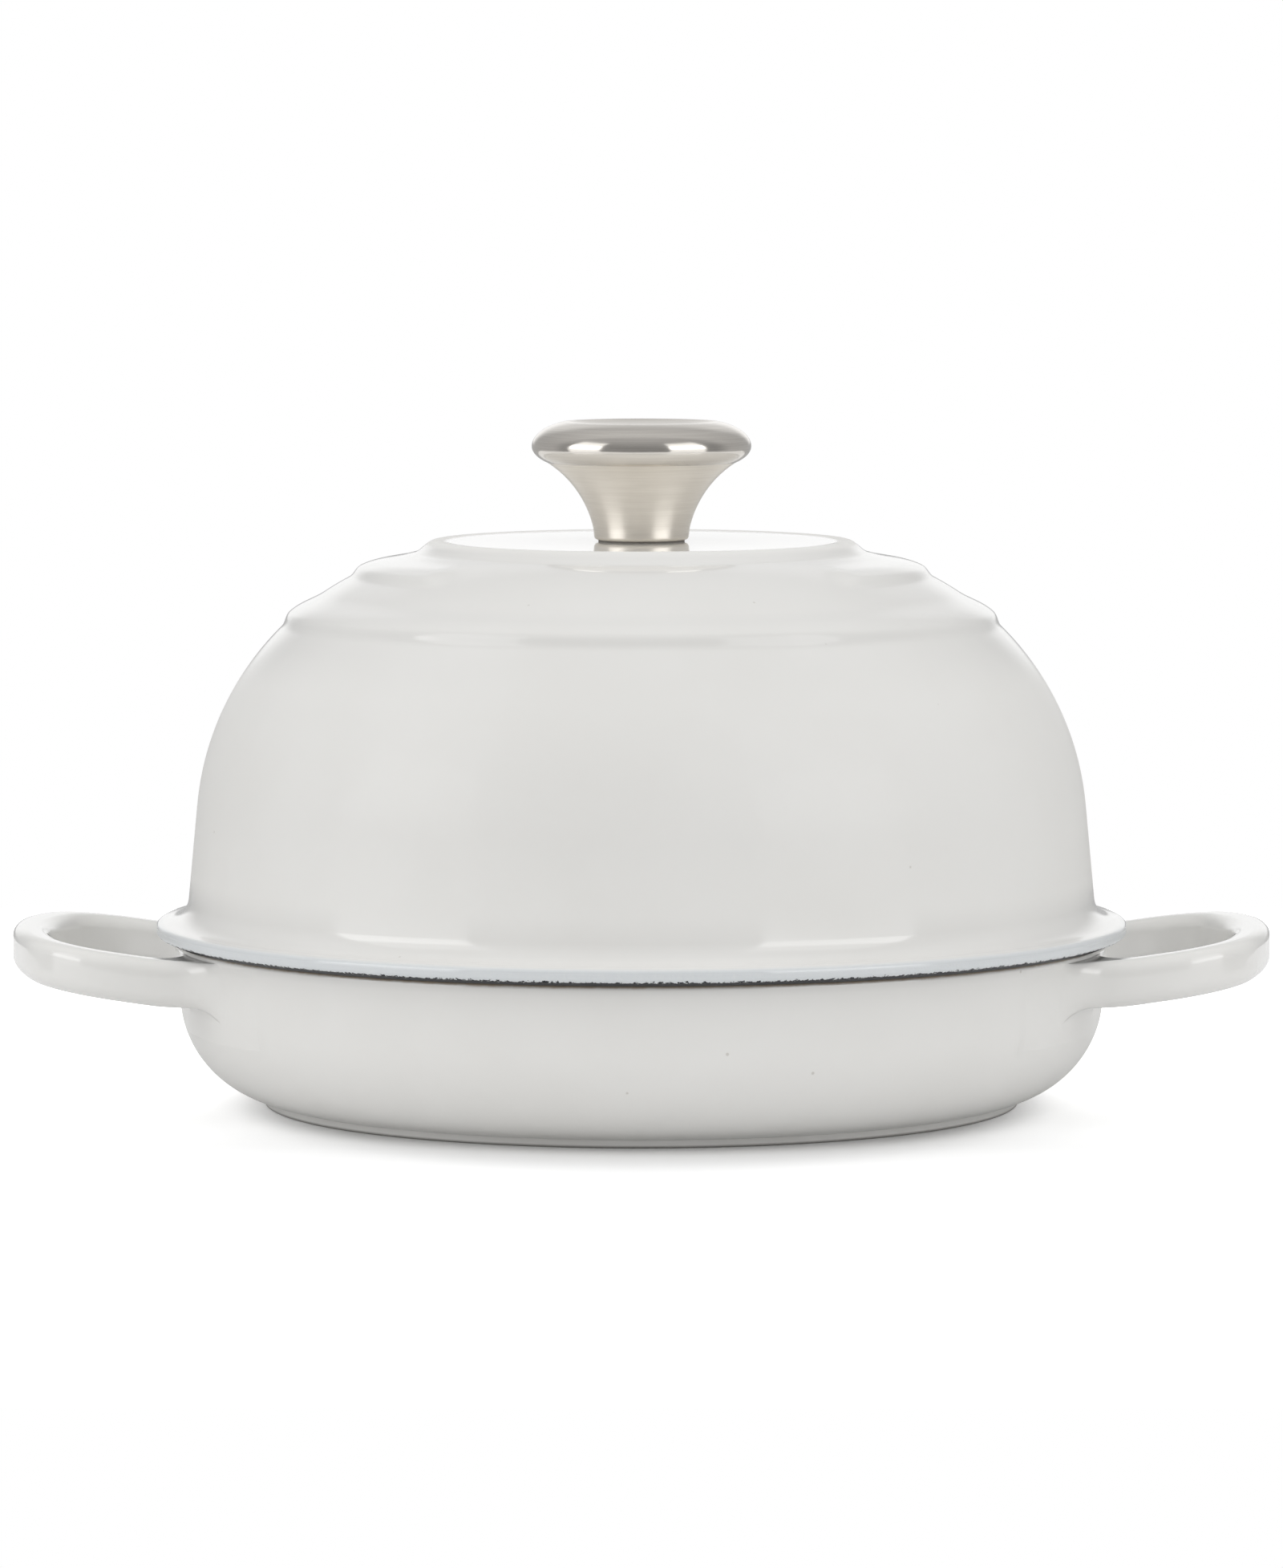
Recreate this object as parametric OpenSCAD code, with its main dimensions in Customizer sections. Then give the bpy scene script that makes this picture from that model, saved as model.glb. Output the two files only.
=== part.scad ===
// Bread oven: a shallow cast-iron pan with two loop handles, a tall domed lid and a steel knob.
// Millimetres, +Z up. The origin is the middle of the foot ring, on the table. Handles lie along X
// and the front is -Y.

/* [Pan] */
// Height of the seat, where the lid rests, above the table
seat_h = 43; // [36:0.5:60]
// Outer radius of the pan wall at the seat
pan_r = 120.5; // [116:0.5:123]
// Lean of the pan wall from the vertical, degrees
pan_draft = 5.5; // [2:0.5:8]
// Radius of the round between the pan wall and its underside
pan_corner_r = 27; // [20:0.5:30]
// Thickness of the cast pan wall
pan_wall = 3.8; // [3.2:0.1:5]
// Thickness of the cast pan floor
pan_floor = 4.4; // [3.6:0.1:7]
// Radius of the round inside the pan, between wall and floor
pan_inner_corner_r = 23; // [14:0.5:26]
// Round on the outer edge of the pan rim
rim_round = 1.4; // [0.5:0.1:2]

/* [Foot ring] */
// Outer radius of the foot ring
foot_r = 97.3; // [94:0.1:104]
// Width of the foot ring
foot_w = 5; // [3:0.5:8]
// Height of the recess inside the foot ring
foot_h = 1.5; // [1:0.1:2.5]
// Bevel on the edges of the foot ring
foot_bevel = 0.4; // [0.2:0.1:0.8]

/* [Baking ridges] */
// Number of raised rings on the pan floor
ridge_count = 4; // [2:1:5]
// Distance from one raised ring to the next
ridge_pitch = 17; // [12:0.5:17]
// Width of a raised ring
ridge_w = 4; // [3:0.5:6]
// Height of a raised ring
ridge_h = 0.9; // [0.5:0.1:1.5]

/* [Loop handles] */
// Distance from the middle of the pan to the tip of a handle
handle_reach = 162; // [156:0.5:170]
// Distance from the middle of a handle to the outer face of its leg
handle_half_w = 49.5; // [44:0.5:54]
// Thickness of the handle's band, seen from above
band_t = 9.6; // [8:0.2:12]
// Height of the handle's band
band_h = 12; // [9:0.5:14]
// Round along the edges of the band
band_round = 3.6; // [2:0.1:4]
// Outer radius of the long curve at the tip
tip_r = 100; // [80:1:120]
// Outer radius of the two corners of the loop
loop_corner_r = 25.7; // [20:0.5:30]
// Rise of the handle towards its tip, outside the pan's rim, degrees
handle_rise = 8.2; // [4:0.2:10]
// Depth of the band's top below the seat, at the pan wall
handle_drop = 1.8; // [1.5:0.1:3]
// Fillet between the outside of a leg and the pan wall
leg_fillet_out = 15; // [10:0.5:18]
// Fillet between the inside of a leg and the pan wall
leg_fillet_in = 10; // [7:0.5:12]
// Fillet under a leg, down the pan wall
leg_fillet_under = 4; // [2:0.5:6]
// Fillet between the top of a leg and the pan wall
leg_fillet_over = 0.8; // [0.4:0.1:1.2]

/* [Dome] */
// Distance of the dome wall, carried down to the seat, inwards from the outside of the pan's rim
dome_inset = 2.9; // [1.5:0.1:5]
// Lean of the dome wall from the vertical, degrees
dome_draft = 5.4; // [3:0.2:7]
// Radius of the dome's shoulder
shoulder_r = 73.5; // [68:0.5:78]
// Height of the top of the shoulder above the seat
crown_h = 100.9; // [92:0.5:112]
// Thickness of the cast dome wall
dome_wall = 3.8; // [3.2:0.1:5]

/* [Dome flange] */
// Reach of the flange past the outside of the pan's rim
flange_overhang = 4.5; // [3:0.1:8]
// Height of the flange's top edge above the seat
flange_t = 4.3; // [4:0.1:6]
// Height by which the flange's lower edge clears the seat
flange_lift = 0.8; // [0.4:0.1:1.2]
// Round on the flange's top and lower edges
flange_round = 1.2; // [0.5:0.1:1.3]
// Fillet between the flange and the dome wall
flange_fillet = 6; // [3:0.5:7]
// Depth of the locating lip below the seat
lip_depth = 4; // [2:0.5:8]
// Thickness of the locating lip
lip_w = 3.2; // [2:0.2:4]
// Gap between the locating lip and the inside of the pan
lip_gap = 1; // [0.6:0.1:2]

/* [Step rings on the dome] */
// Outer radius of the outer step ring
outer_ring_r = 92.6; // [88:0.5:96]
// Outer radius of the middle step ring
middle_ring_r = 75.3; // [72:0.5:78]
// Height of a step ring
ring_h = 1.4; // [0.8:0.1:2]
// Length of a step ring's steep outer side
ring_rise = 4; // [3:0.5:6]
// Length of a step ring's gentle inner side
ring_fall = 10; // [7:0.5:12]
// Angle at the front over which the middle ring is left out, degrees
ring_gap = 84; // [40:2:120]
// Length over which the middle ring fades out at each end
ring_fade = 10; // [6:1:16]

/* [Crown] */
// Outer radius of the flat crown's step
crown_r = 58.6; // [55:0.2:61]
// Height of the flat crown above the seat
crown_flat_h = 101.75; // [101.5:0.05:103]
// Length of the step round the crown
crown_step = 5.5; // [4:0.5:8]
// Height of the soft bead round the crown's edge
crown_bead = 0.3; // [0.1:0.05:0.6]

/* [Enamel] */
// Thickness of the dark enamel lining
lining_t = 0.4; // [0.3:0.05:0.8]
// Bare height left between the pan's lining and the seat
lining_drop = 1; // [0.5:0.5:3]

/* [Knob] */
// Height of the knob above its gasket
knob_h = 30.3; // [26:0.1:33]
// Largest radius of the knob
knob_r = 28.2; // [26:0.2:32]
// Half width of the oval that the rolled rim is a part of
knob_roll_w = 13; // [10:0.5:15]
// Half height of this oval above its widest place
knob_roll_h = 6.8; // [5.5:0.1:8]
// Half height of this oval below its widest place
knob_roll_under = 5.8; // [5:0.1:7]
// Depth of the dish in the knob's top
dish_depth = 1.6; // [1:0.1:2.5]
// Radius of the neck's flare
flare_r = 26.9; // [24:0.1:30]
// Radius of the neck just above its foot
neck_r = 12.4; // [11.5:0.1:14.5]
// Height of the place where the flare starts above the neck's foot
waist_h = 3; // [2:0.5:5]
// Round at the edge of the neck's foot
neck_foot_round = 1.1; // [0.6:0.1:1.8]
// Thickness of the knob's sheet steel
knob_wall = 1.2; // [0.8:0.1:1.6]
// Thickness of the neck's floor
neck_floor = 2; // [1.5:0.1:3]
// Thickness of the gasket under the knob
gasket_t = 0.4; // [0.3:0.1:1]

/* [Screw and washers] */
// Thread radius of the screw
screw_r = 3; // [2.5:0.5:4]
// Length of the screw's thread
screw_l = 24; // [18:1:26]
// Radius of the screw's head
screw_head_r = 6; // [5.5:0.25:7]
// Height of the screw's head
screw_head_h = 3.6; // [3:0.2:4.4]
// Gap round the screw in its plain holes
hole_gap = 0.5; // [0.3:0.1:1]
// Running gap between the screw and the threaded insert
thread_gap = 0.05; // [0.03:0.01:0.08]
// Outer radius of the threaded insert
insert_r = 5.6; // [5:0.2:7]
// Height of the threaded insert
insert_h = 14; // [10:0.5:16]
// Outer radius of the flat washer
washer_r = 9; // [7.5:0.5:12]
// Thickness of the flat washer
washer_t = 1.2; // [0.8:0.1:2]
// Width of the lock washer's wire
lock_w = 2.4; // [1.6:0.1:3]
// Thickness of the lock washer's wire
lock_t = 1.5; // [1:0.1:2]
// Width of the split in the lock washer, degrees
lock_split = 14; // [8:1:30]

/* [Hidden] */
$fn = 96;

enamel_white = [0.91, 0.90, 0.87];
enamel_black = [0.10, 0.10, 0.11];
steel = [0.72, 0.70, 0.67];
bright_steel = [0.80, 0.80, 0.80];
gasket_black = [0.12, 0.12, 0.12];

// Azimuth of the front, where -Y is
front = 270;
// Reach of a cutting solid past the faces that it cuts
over = 1;

// Places that the pan's own sizes give
pan_centre = [wall_out(foot_h + pan_corner_r) - pan_corner_r / cos(pan_draft), foot_h + pan_corner_r];
foot_angle = -acos((foot_r - pan_centre[0]) / pan_corner_r);
floor_z = foot_h + pan_floor;
inner_centre_z = floor_z + pan_inner_corner_r;
inner_centre = [wall_in(inner_centre_z) - pan_inner_corner_r / cos(pan_draft), inner_centre_z];

// Places that the dome's own sizes give
dome_r = pan_r - dome_inset;
flange_r = pan_r + flange_overhang;
shoulder_z = seat_h + crown_h - shoulder_r;
shoulder = [dome_out(shoulder_z) - shoulder_r / cos(dome_draft), shoulder_z];
crown_z = seat_h + crown_flat_h;
ceiling_z = seat_h + crown_h - dome_wall;
lip_z = seat_h - lip_depth;
lip_r = wall_in(lip_z) - lining_t - lip_gap;
// Height over which the locating lip's inside runs into the dome's hollow
lip_blend_h = 12;
// Slope of the flange's top, degrees
flange_slope = 8;
// Half width of the soft bead round the crown, which ends inside the step
bead_half_w = 4;
crown_flat_r = crown_r - crown_step - 2 * bead_half_w;
// Step along the dome's shoulder from one point to the next, degrees
shoulder_step = 0.8;

// Places that the knob's own sizes give
knob_z = crown_z + gasket_t;
knob_top = knob_z + knob_h;
// Angle short of the oval's top at which the rim has its crest and drops into the dish
roll_lip = 23;
roll = [knob_r - knob_roll_w, knob_top - knob_roll_h * cos(roll_lip)];
dish_r = roll[0] + knob_roll_w * sin(roll_lip);
// Angle below the middle of the oval at which the cap's edge meets the neck
roll_seam = 45;
seam_z = roll[1] - knob_roll_under * sin(roll_seam);
waist_z = knob_z + waist_h;
// Lean of the flare where it starts above the neck's foot, degrees
neck_lean = 12.5;
// How far the neck draws in from there down to its foot
neck_foot_in = 0.2;
// Radius of the flat under the neck's foot
neck_foot_r = neck_r - neck_foot_in - neck_foot_round;
head_z = ceiling_z - lining_t - washer_t - lock_t;
// Gap round the screw in the washers
washer_gap = 0.25;

// Points and curves in a section, x is the radius and y the height
function polar(c, r, a) = [c[0] + r * cos(a), c[1] + r * sin(a)];
function arc(c, r, from, to, n) = [for (i = [0:n]) polar(c, r, from + (to - from) * i / n)];
function ease(x) = x <= 0 ? 0 : x >= 1 ? 1 : (1 - cos(180 * x)) / 2;
function mix(a, b, t) = a + (b - a) * t;

// Pan wall, outside and inside, at a height, and the outside with the round below it
function wall_out(z) = pan_r - (seat_h - z) * tan(pan_draft);
function wall_in(z) = wall_out(z) - pan_wall / cos(pan_draft);
function pan_out(z) = z > pan_centre[1] - pan_corner_r * sin(pan_draft) ? wall_out(z)
    : pan_centre[0] + sqrt(pow(pan_corner_r, 2) - pow(z - pan_centre[1], 2));

// Outside of the pan, from the middle of its underside to the middle of its rim
pan_outline = concat(
    [[0, foot_h], [foot_r - foot_w - foot_bevel, foot_h],
     [foot_r - foot_w + foot_bevel, 0], [foot_r - foot_bevel, 0]],
    arc(pan_centre, pan_corner_r, foot_angle, -pan_draft, 18),
    arc([wall_out(seat_h - rim_round) - rim_round, seat_h - rim_round], rim_round, 0, 90, 5),
    [[0, seat_h]]);

// One baking ridge on the floor, from its outer to its inner foot
function baking_ridge(r, z) =
    [for (k = [2:-1:-2]) [r + k * ridge_w / 4, z + ridge_h * pow(cos(45 * k), 2)]];

// Hollow of the pan up to a height, drawn in by the thickness of a skin
function pan_hollow(skin, top) = concat(
    [[0, top], [wall_in(top) - skin / cos(pan_draft), top]],
    arc(inner_centre, pan_inner_corner_r - skin, -pan_draft, -90, 12),
    [for (i = [ridge_count:-1:1]) each baking_ridge(i * ridge_pitch, floor_z + skin)],
    [[0, floor_z + skin]]);

// Dome wall, outside and inside, at a height
function dome_out(z) = dome_r - (z - seat_h) * tan(dome_draft);
function dome_in(z) = dome_out(z) - dome_wall / cos(dome_draft);

// Place of a radius on the shoulder, as an angle, and the step ring's height there
function shoulder_angle(r) = acos((r - shoulder[0]) / shoulder_r);
function ring_relief(a, ring_r) =
    let (s = (a - shoulder_angle(ring_r)) * PI / 180 * shoulder_r)
    ring_h * (ease(s / ring_rise) - ease((s - ring_rise) / ring_fall));

// Fillet between the flange's sloping top and the dome wall
fillet_z = (seat_h + flange_t + (flange_r - flange_round) * tan(flange_slope)
            + flange_fillet / cos(flange_slope)
            - tan(flange_slope) * (dome_r + seat_h * tan(dome_draft) + flange_fillet / cos(dome_draft)))
           / (1 - tan(flange_slope) * tan(dome_draft));
fillet_centre = [dome_out(fillet_z) + flange_fillet / cos(dome_draft), fillet_z];

// Height of the dome between the step round the crown and the flat crown
function crown_height(r) =
    let (t = ease((crown_r - r) / crown_step),
         shoulder_top = r > shoulder[0] ? shoulder[1] + sqrt(pow(shoulder_r, 2) - pow(r - shoulder[0], 2))
                                        : shoulder[1] + shoulder_r,
         bead = crown_bead * ease(1 - abs(r - (crown_r - crown_step)) / bead_half_w))
    mix(shoulder_top, crown_z, t) + bead;

// Outside of the dome, from the middle of the seat round the flange and up to the crown
dome_outline = let (last = shoulder_angle(crown_r), n = ceil((last - dome_draft) / shoulder_step)) concat(
    [[0, seat_h], [flange_r - flange_round - 2 * flange_lift, seat_h]],
    arc([flange_r - flange_round, seat_h + flange_lift + flange_round], flange_round, -90, 0, 4),
    arc([flange_r - flange_round, seat_h + flange_t - flange_round], flange_round, 0, 90 - flange_slope, 4),
    arc(fillet_centre, flange_fillet, 270 - flange_slope, 180 + dome_draft, 8),
    [for (i = [0:n]) let (a = mix(dome_draft, last, i / n))
        polar(shoulder, shoulder_r + ring_relief(a, outer_ring_r), a)],
    [for (i = [1:12]) let (r = mix(crown_r, crown_flat_r, i / 12)) [r, crown_height(r)]],
    [[0, crown_z]]);

// Hollow of the dome, drawn in by the thickness of a skin, from a height below the seat
function dome_hollow(skin, bottom) = concat(
    [[0, bottom], [lip_r - lip_w - skin, bottom], [lip_r - lip_w - skin, seat_h],
     [dome_in(seat_h + lip_blend_h) - skin, seat_h + lip_blend_h]],
    arc(shoulder, shoulder_r - dome_wall - skin, dome_draft, 90, 28),
    [[0, ceiling_z - skin]]);

// Rounded section of the handle's band: depth from the outer face, height from the middle, and the
// direction in which the surface faces, 0 to the inside of the loop and 90 up
band_section = let (r = band_round, h = band_h / 2 - r)
    [for (corner = [[band_t - r, h, 0], [r, h, 90], [r, -h, 180], [band_t - r, -h, 270]])
        for (k = [0:3]) let (a = corner[2] + 30 * k) [each polar([corner[0], corner[1]], r, a), a]];

// Centres of the loop's curves, seen from above
tip_x = handle_reach - tip_r;
loop_corner = [tip_x + sqrt(pow(tip_r - loop_corner_r, 2) - pow(handle_half_w - loop_corner_r, 2)),
               handle_half_w - loop_corner_r];
tip_angle = asin((handle_half_w - loop_corner_r) / (tip_r - loop_corner_r));
band_z = seat_h - handle_drop - band_h / 2;
// Distance of a leg's foot from the middle of the pan, along X
leg_x = sqrt(pow(pan_r, 2) - pow(handle_half_w - band_t / 2, 2));
// Depth by which the legs' fillets run into the pan wall
root_sink = 0.3;
// Plane inside the pan where the legs' solids end, before the pan's hollow is cut
root_x = leg_x - pan_wall - leg_fillet_out;

// Length over which the legs turn from level to rising, with its middle at the rim's radius
rise_blend = 10;

// Height of a point of the section above a place seen from above: level at the pan wall, then rising
function band_height(s, xy) =
    let (out = xy[0] - pan_r + rise_blend / 2,
         along = out <= 0 ? 0 : out < rise_blend ? out * out / 2 / rise_blend : out - rise_blend / 2)
    band_z + s[1] + along * tan(handle_rise);
function band_ring(at, facing) =
    [for (s = band_section) let (xy = at - facing * s[0]) [xy[0], xy[1], band_height(s, xy)]];

function bezier(p, t) =
    pow(1 - t, 3) * p[0] + 3 * pow(1 - t, 2) * t * p[1] + 3 * (1 - t) * t * t * p[2] + pow(t, 3) * p[3];

// Drop of a fillet of radius r at a distance d from the wall that it runs into
function fillet_drop(r, d) = d >= r ? 0 : r - sqrt(r * r - pow(r - max(0, d), 2));

// Path of one point of the section from the straight leg, at t = 0, to the pan wall, at t = 1: from
// above it rounds off to its own side of the leg, and near the wall it also runs up or down it
function leg_path(s, t) =
    let (y = handle_half_w - s[0],
         side = s[0] < band_t / 2 ? 1 : -1,
         r = side > 0 ? leg_fillet_out : leg_fillet_in,
         upright = sin(s[2]),
         below = upright > 0 ? leg_fillet_over : leg_fillet_under,
         wall_r = pan_out(band_z + s[1] + upright * below) - root_sink,
         azimuth = asin(y / wall_r),
         turn = acos(side * sin(azimuth)),
         reach = r * tan(turn / 2),
         pull = r * 4 / 3 * tan(turn / 4),
         x = wall_r * cos(azimuth) + reach,
         degree = 180 / PI / wall_r,
         end = azimuth + side * reach * degree,
         xy = bezier([[x, y], [x - pull, y], polar([0, 0], wall_r, end - side * pull * degree),
                      polar([0, 0], wall_r, end)], t))
    [xy[0], xy[1], band_height(s, xy) + upright * fillet_drop(below, norm(xy) - wall_r)];

// Rings of points along half a loop, from inside the pan to the tip, closest at the wall
fillet_steps = 9;
corner_steps = 6;
tip_steps = 4;
half_loop = concat(
    [[for (s = band_section) let (end = leg_path(s, 1)) [root_x, end[1], end[2]]]],
    [for (i = [fillet_steps:-1:0]) [for (s = band_section) leg_path(s, sin(90 * i / fillet_steps))]],
    [for (i = [0:corner_steps]) let (a = mix(90, tip_angle, i / corner_steps))
        band_ring(polar(loop_corner, loop_corner_r, a), [cos(a), sin(a)])],
    [for (i = [1:tip_steps]) let (a = mix(tip_angle, 0, i / tip_steps))
        band_ring(polar([tip_x, 0], tip_r, a), [cos(a), sin(a)])]);
loop = concat(
    [for (ring = half_loop) [for (p = ring) [p[0], -p[1], p[2]]]],
    [for (i = [len(half_loop) - 2:-1:0]) half_loop[i]]);

module loop_handle() {
    sides = len(band_section);
    rings = len(loop);
    skin = [for (i = [0:rings - 2]) for (j = [0:sides - 1])
        let (a = i * sides + j, b = i * sides + (j + 1) % sides)
        each [[a, b + sides, b], [a, a + sides, b + sides]]];
    first = [for (j = [0:sides - 1]) j];
    last = [for (j = [sides - 1:-1:0]) (rings - 1) * sides + j];
    polyhedron(points = [for (ring = loop) each ring], faces = concat(skin, [first, last]));
}

// Cast pan with its foot ring and both loop handles
module base_pan() {
    color(enamel_white) difference() {
        union() {
            rotate_extrude() polygon(pan_outline);
            loop_handle();
            rotate([0, 0, 180]) loop_handle();
        }
        rotate_extrude() polygon(pan_hollow(0, seat_h + over));
    }
}

// Dark enamel inside the pan
module pan_lining() {
    color(enamel_black) rotate_extrude() difference() {
        polygon(pan_hollow(0, seat_h - lining_drop));
        polygon(pan_hollow(lining_t, seat_h));
    }
}

// Middle step ring, open at the front, where its ends slope down into the dome
module middle_ring() {
    sunk = 0.06;
    start = front + ring_gap / 2 - 360;
    sweep = 360 - ring_gap;
    from = shoulder_angle(middle_ring_r);
    to = from + (ring_rise + ring_fall) / shoulder_r * 180 / PI;
    steps = 16;
    section = concat(
        [for (i = [0:steps]) let (a = mix(from, to, i / steps))
            polar(shoulder, shoulder_r + ring_relief(a, middle_ring_r) - sunk, a)],
        [polar(shoulder, shoulder_r - dome_wall / 2, to), polar(shoulder, shoulder_r - dome_wall / 2, from)]);
    middle = (from + to) / 2;
    seat = polar(shoulder, shoulder_r, middle);
    difference() {
        rotate([0, 0, start]) rotate_extrude(angle = sweep) polygon(section);
        for (end = [0, 1])
            rotate([0, 0, start + end * sweep]) mirror([0, end, 0])
                translate([seat[0], 0, seat[1]]) rotate([0, 90 - middle, 0])
                    rotate([atan(ring_h / ring_fade), 0, 0])
                        translate([-ring_fall, -ring_fade, -sunk]) cube([2 * ring_fall, 3 * ring_fade, ring_fade]);
    }
}

// Cast dome with its flange, locating lip and step rings
module dome_lid() {
    color(enamel_white) difference() {
        union() {
            rotate_extrude() difference() {
                union() {
                    polygon(dome_outline);
                    translate([0, lip_z]) square([lip_r, lip_depth + over]);
                }
                polygon(dome_hollow(0, lip_z - over));
            }
            middle_ring();
        }
        translate([0, 0, ceiling_z - over]) cylinder(r = screw_r + hole_gap, h = crown_z - ceiling_z + 2 * over);
    }
}

// Dark enamel inside the dome
module dome_lining() {
    color(enamel_black) rotate_extrude() difference() {
        polygon(dome_hollow(0, lip_z));
        polygon(dome_hollow(lining_t, lip_z - over));
        square([screw_r + hole_gap, ceiling_z + over]);
    }
}

// Section of the rolled rim up to its crest, drawn in by a skin
function roll_side(skin, from, n) = [for (i = [0:n]) let (t = mix(from, 90 - roll_lip, i / n))
    roll + [(knob_roll_w - skin) * cos(t), ((t < 0 ? knob_roll_under : knob_roll_h) - skin) * sin(t)]];

// Pressed cap of the knob: a rolled rim round a shallow dish
module knob_cap() {
    steps = 8;
    dish = [for (i = [1:steps]) let (r = dish_r * (1 - i / steps))
        [r, knob_top - dish_depth * (1 - pow(r / dish_r, 4))]];
    outer = concat(roll_side(0, -roll_seam, 2 * steps), dish, [[0, seam_z]]);
    inner = concat(
        roll_side(knob_wall, -90, 2 * steps),
        [for (p = dish) p - [0, knob_wall]],
        [[0, seam_z - over]]);
    color(steel) rotate_extrude() difference() {
        polygon(outer);
        polygon(inner);
        translate([0, seam_z - 2 * knob_roll_h]) square([knob_r, 2 * knob_roll_h]);
    }
}

// Spun neck of the knob, a hollow flare on a flat floor
module knob_neck() {
    flare_z = waist_z - flare_r * sin(neck_lean);
    flare_x = neck_r + flare_r * cos(neck_lean);
    top_angle = asin((seam_z - flare_z) / flare_r);
    outer = concat(
        [[0, knob_z]],
        arc([neck_foot_r, knob_z + neck_foot_round], neck_foot_round, -90, 0, 5),
        [for (i = [0:16]) let (a = mix(neck_lean, top_angle, i / 16))
            [flare_x - flare_r * cos(a), flare_z + flare_r * sin(a)]],
        [[0, seam_z]]);
    inner = concat(
        [[0, knob_z + neck_floor], [neck_foot_r, knob_z + neck_floor]],
        [for (i = [2:16]) let (a = mix(neck_lean, top_angle, i / 16))
            [flare_x - (flare_r + knob_wall) * cos(a), flare_z + (flare_r + knob_wall) * sin(a)]],
        [[0, seam_z + knob_wall]]);
    color(steel) rotate_extrude() difference() {
        polygon(outer);
        polygon(inner);
        translate([0, knob_z - over]) square([screw_r + hole_gap, neck_floor + 2 * over]);
    }
}

// Threaded insert that stands on the neck's floor
module knob_insert() {
    color(bright_steel) translate([0, 0, knob_z + neck_floor]) difference() {
        cylinder(r = insert_r, h = insert_h);
        translate([0, 0, -over]) cylinder(r = screw_r + thread_gap, h = insert_h + 2 * over);
    }
}

// Thin gasket between the knob and the crown
module knob_gasket() {
    color(gasket_black) translate([0, 0, crown_z]) difference() {
        cylinder(r = neck_foot_r, h = gasket_t);
        translate([0, 0, -over]) cylinder(r = screw_r + hole_gap, h = gasket_t + 2 * over);
    }
}

// Flat washer against the dome's ceiling
module flat_washer() {
    color(bright_steel) translate([0, 0, ceiling_z - lining_t - washer_t]) difference() {
        cylinder(r = washer_r, h = washer_t);
        translate([0, 0, -over]) cylinder(r = screw_r + washer_gap, h = washer_t + 2 * over);
    }
}

// Split lock washer under the screw's head, pressed flat
module lock_washer() {
    color(bright_steel) translate([0, 0, head_z]) rotate([0, 0, lock_split / 2])
        rotate_extrude(angle = 360 - lock_split)
            translate([screw_r + washer_gap, 0]) square([lock_w, lock_t]);
}

// Pan-head screw with a cross recess, put in from below
module knob_screw() {
    head_round = 1.6;
    recess_w = 1.2;
    recess_l = 6.6;
    recess_h = 2.1;
    color(bright_steel) difference() {
        union() {
            rotate_extrude() polygon(concat(
                [[0, head_z], [0, head_z - screw_head_h]],
                arc([screw_head_r - head_round, head_z - screw_head_h + head_round], head_round, -90, 0, 6),
                [[screw_head_r, head_z]]));
            translate([0, 0, head_z - over]) cylinder(r = screw_r, h = screw_l + over);
        }
        for (a = [0, 90]) rotate([0, 0, a])
            translate([-recess_l / 2, -recess_w / 2, head_z - screw_head_h - over])
                cube([recess_l, recess_w, recess_h + over]);
    }
}

base_pan();
pan_lining();
dome_lid();
dome_lining();
knob_cap();
knob_neck();
knob_insert();
knob_gasket();
flat_washer();
lock_washer();
knob_screw();
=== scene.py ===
"""The bread cloche's looks: enamelled castings, brushed steel knob, studio light and camera.

Lengths are millimetres, in the finishes too, and meshes become metres when they are made.
"""

import math

import bmesh
import bpy
import numpy as np
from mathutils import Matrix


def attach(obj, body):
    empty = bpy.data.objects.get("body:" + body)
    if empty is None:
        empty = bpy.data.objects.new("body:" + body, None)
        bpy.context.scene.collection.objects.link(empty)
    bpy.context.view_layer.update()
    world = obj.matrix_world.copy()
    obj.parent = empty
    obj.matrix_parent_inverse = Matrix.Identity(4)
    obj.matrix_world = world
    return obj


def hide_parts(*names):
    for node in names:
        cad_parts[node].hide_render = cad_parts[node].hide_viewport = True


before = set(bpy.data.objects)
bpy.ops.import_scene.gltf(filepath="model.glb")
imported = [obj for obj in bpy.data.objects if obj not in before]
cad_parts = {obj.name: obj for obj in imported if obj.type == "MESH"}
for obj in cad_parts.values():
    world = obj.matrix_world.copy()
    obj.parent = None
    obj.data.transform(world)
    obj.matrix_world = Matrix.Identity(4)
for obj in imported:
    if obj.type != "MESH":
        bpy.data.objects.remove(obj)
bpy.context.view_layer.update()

MM = 0.001
WELD_M = 1e-6
TOUCHING = 1e-6
SHARP_ANGLE = math.radians(35)

# Pan
SEAT_H = 43.0
PAN_R = 120.5
PAN_DRAFT = math.radians(5.5)
PAN_ROUND = 27.0
PAN_WALL = 3.8
PAN_FLOOR = 4.4
PAN_INNER_ROUND = 23.0
RIM_ROUND = 1.4
RIM_INNER_ROUND = 0.5
FOOT_R = 97.3
FOOT_W = 5.0
FOOT_H = 1.5
FOOT_ROUND = 0.5
FOOT_LEAN = 0.4
RIDGE_COUNT = 4
RIDGE_PITCH = 17.0
RIDGE_W = 4.0
RIDGE_H = 0.9

# Loop handles
HANDLE_REACH = 162.0
HANDLE_HALF_W = 49.5
BAND_T = 9.6
BAND_H = 12.0
BAND_ROUND = 3.6
TIP_R = 100.0
LOOP_ROUND = 25.7
HANDLE_RISE = math.radians(8.2)
RISE_BLEND = 10.0
HANDLE_DROP = 1.8
LEG_FILLET_OUT = 15.0
LEG_FILLET_IN = 10.0
LEG_FILLET_UNDER = 4.0
LEG_FILLET_OVER = 0.3

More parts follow.
